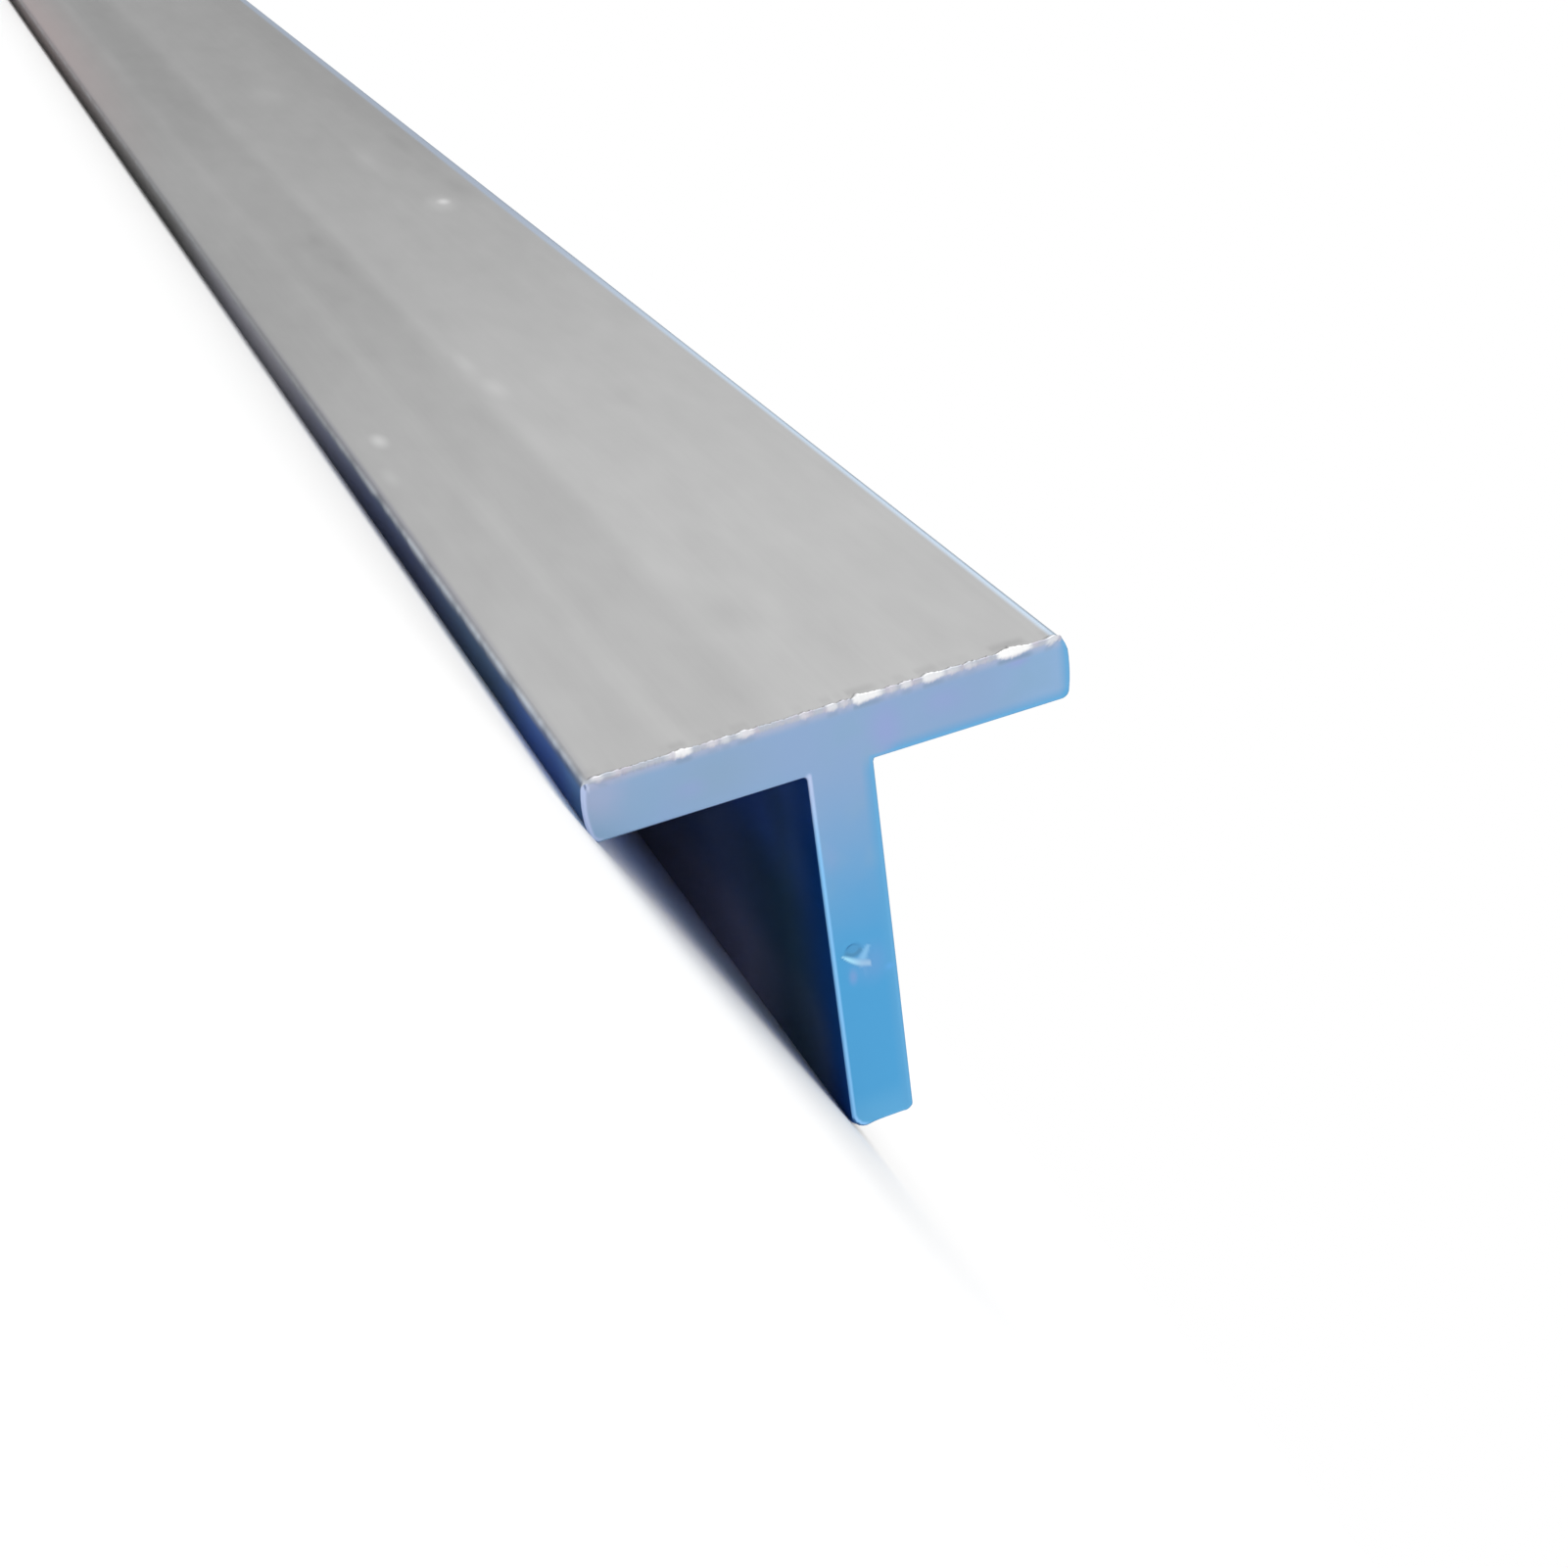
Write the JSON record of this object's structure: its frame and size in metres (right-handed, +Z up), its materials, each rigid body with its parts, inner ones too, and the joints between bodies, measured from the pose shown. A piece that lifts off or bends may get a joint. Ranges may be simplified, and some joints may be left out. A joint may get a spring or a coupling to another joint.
{
  "type": "aluminium tee section",
  "caption": "Straight aluminium tee bar of extruded stock: a flat flange with a web of the same thickness down its middle, near-sharp corners and square sawn ends.",
  "frame": {"origin": "on the floor, at the middle of the bar's length and of its width as it lies", "axes": "+X along the bar towards the sawn end that the picture shows, +Z up; the bar lies on one edge of its flange and on the web's tip, with the flange's outer face looking up and towards -Y"},
  "size_m": [1, 0.0342, 0.0283],
  "materials": {
    "tee_section": "satin mill finish"
  },
  "bodies": {
    "root": {"tee_section": "tee_section"}
  },
  "joints": []
}
